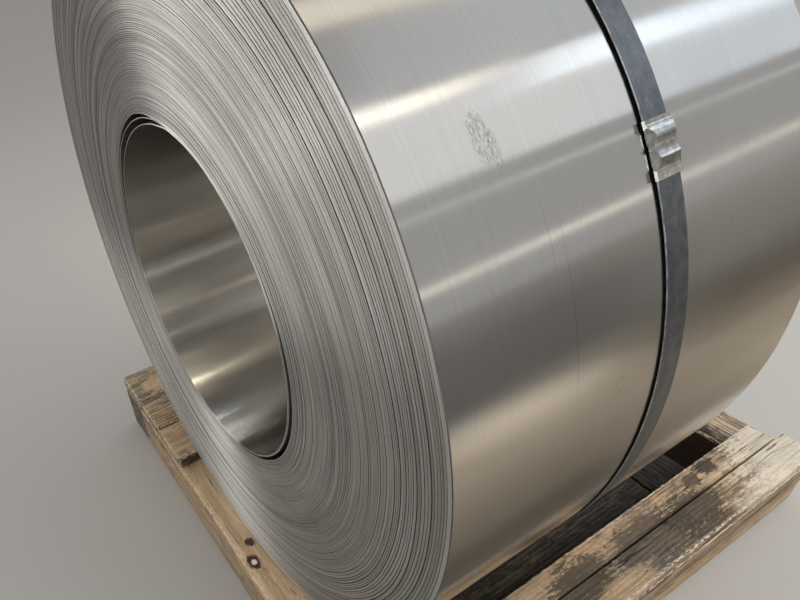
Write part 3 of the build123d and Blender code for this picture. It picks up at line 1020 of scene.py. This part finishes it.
# The cards' shades, from the coil outwards and up, at their near and far ends: what
# lies beside the coil, as the steel mirrors it, with one warm patch of light on it.
card_start = -0.40
card_end = 5.0
card_near = 0.53
card_far = 2.40
card_height = 0.97
card_lift = 0.004
card_near_shades = (
    (0.0, 0.10), (0.068, 0.10), (0.111, 0.17), (0.158, 0.20), (0.227, 0.28), (0.312, 0.36),
    (0.436, 0.45), (0.620, 0.25), (0.80, 0.14), (0.926, 0.17), (1.0, 0.28),
)
card_far_shades = (
    (0.0, 0.36), (0.111, 0.42), (0.158, 0.33), (0.227, 0.34), (0.312, 0.20),
    (0.436, 0.11), (0.620, 0.14), (0.80, 0.25), (0.926, 0.30), (1.0, 0.35),
)
card_warm = (1.20, 1.01, 0.77)
card_pale = (1.06, 1.00, 0.90)
card_glow = (1.70, 0.70, 0)
card_glow_size = (0.50, 0.60, 0.50)

card_colour, tree, shader = new_material("card_colour")
place = add_node(tree, "ShaderNodeTexCoord").outputs["Object"]
parts = add_node(tree, "ShaderNodeSeparateXYZ")
plug(tree, place, parts.inputs[0])
out = reckon(tree, "ABSOLUTE", parts.outputs["X"])
delay = reckon(tree, "MULTIPLY_ADD", out, 0.2, -0.52)
delay = reckon(tree, "ADD", delay, spread(tree, out, 0.0, 1.4, 1.4, 2.3))
along_card = reckon(tree, "SUBTRACT", parts.outputs["Y"], delay)
way_out = spread(tree, out, 0.0, 0.8, card_near, card_far)
way_out = reckon(tree, "ADD", way_out, spread(tree, parts.outputs["Z"], 0.0, 0.2, card_lift, card_height))
shade = mix(
    tree, ramp(tree, way_out, *card_near_shades), ramp(tree, way_out, *card_far_shades),
    spread(tree, along_card, 0.0, 1.0, 0.6, 1.4),
)
reach = far_from(tree, place, card_glow, card_glow_size)
shade = reckon(tree, "ADD", shade, spread(tree, reach, 0.35, 0.0, 0.0, 1.0))
glow = add_node(tree, "ShaderNodeEmission")
card_tint = mix(tree, card_warm, card_pale, spread(tree, way_out, 0.0, 1.0, 0.45, 0.75))
plug(tree, card_tint, glow.inputs["Color"])
plug(tree, shade, glow.inputs["Strength"])
plug(tree, glow.outputs[0], tree.nodes["Material Output"].inputs["Surface"])

for name, side in (("right_card", 1), ("left_card", -1)):
    deselect_all()
    middle_of_card = Vector((side * (card_near + card_far) / 2, (card_start + card_end) / 2, card_lift))
    bpy.ops.mesh.primitive_plane_add(size=1, location=middle_of_card)
    card = bpy.context.object
    card.name = name
    card.scale = (card_far - card_near, card_end - card_start, 1)
    bpy.ops.object.transform_apply(location=True, rotation=True, scale=True)
    bpy.ops.object.mode_set(mode="EDIT")
    bpy.ops.mesh.select_all(action="DESELECT")
    bpy.ops.object.mode_set(mode="OBJECT")
    for edge in card.data.edges:
        edge.select = all(abs(card.data.vertices[end].co.x) > card_far - 0.01 for end in edge.vertices)
    bpy.ops.object.mode_set(mode="EDIT")
    bpy.ops.mesh.select_mode(type="EDGE")
    bpy.ops.mesh.extrude_region_move(TRANSFORM_OT_translate={"value": (0, 0, card_height)})
    bpy.ops.object.mode_set(mode="OBJECT")
    card.data.materials.append(card_colour)
    card.visible_camera = False
    card.visible_diffuse = False
    card.visible_shadow = False
    card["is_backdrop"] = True

# The camera: fitted to the outlines in the photograph, in its pixels.
picture_width = 800
focal_pixels = 617.2
principal_offset = (-141.7, 63.5)
camera_data = bpy.data.cameras.new("camera")
camera_data.sensor_width = 36
camera_data.lens = focal_pixels / picture_width * camera_data.sensor_width
camera_data.shift_x = -principal_offset[0] / picture_width
camera_data.shift_y = principal_offset[1] / picture_width
camera = bpy.data.objects.new("camera", camera_data)
bpy.context.collection.objects.link(camera)
right = Vector((0.5037, 0.8575, -0.1053))
down = Vector((0.5014, -0.3894, -0.7727))
ahead = right.cross(down)
stand = Vector((0.7180, near_end - 0.2567, coil_axis.z + 0.4746))
camera.matrix_world = Matrix.Translation(stand) @ Matrix((right, -down, -ahead)).transposed().to_4x4()
bpy.context.scene.camera = camera

bpy.context.scene.view_settings.view_transform = "Standard"
low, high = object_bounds()
